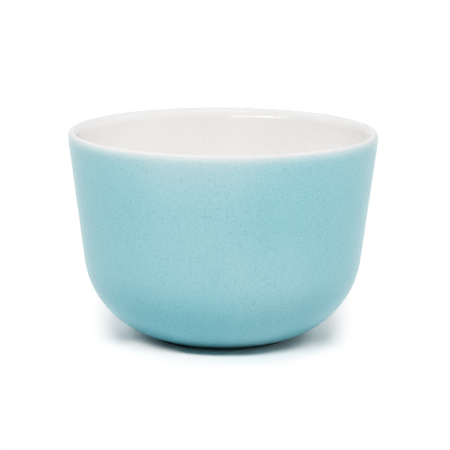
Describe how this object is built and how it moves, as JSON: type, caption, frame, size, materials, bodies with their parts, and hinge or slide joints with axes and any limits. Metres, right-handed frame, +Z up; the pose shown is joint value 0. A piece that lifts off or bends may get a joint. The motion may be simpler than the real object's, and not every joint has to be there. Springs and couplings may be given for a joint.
{
  "type": "porcelain cup",
  "caption": "Handle-less porcelain cup with a straight flared wall, round base and low foot ring, in speckled satin turquoise glaze outside and glossy white glaze inside.",
  "frame": {"origin": "on the cup's axis, in the plane that the foot ring stands on", "axes": "+Z up along the axis of the turned shape; +X and +Y are equal, because the cup is round"},
  "size_m": [0.09, 0.09, 0.061],
  "materials": {
    "bisque": "unglazed, fine and matt",
    "turquoise_satin": "satin, finely speckled",
    "white_gloss": "glossy",
    "turquoise_recess": "satin, finely speckled"
  },
  "bodies": {
    "root": {"porcelain_body": "bisque", "outer_glaze": "turquoise_satin", "inner_glaze": "white_gloss", "base_glaze": "turquoise_recess"}
  },
  "joints": []
}
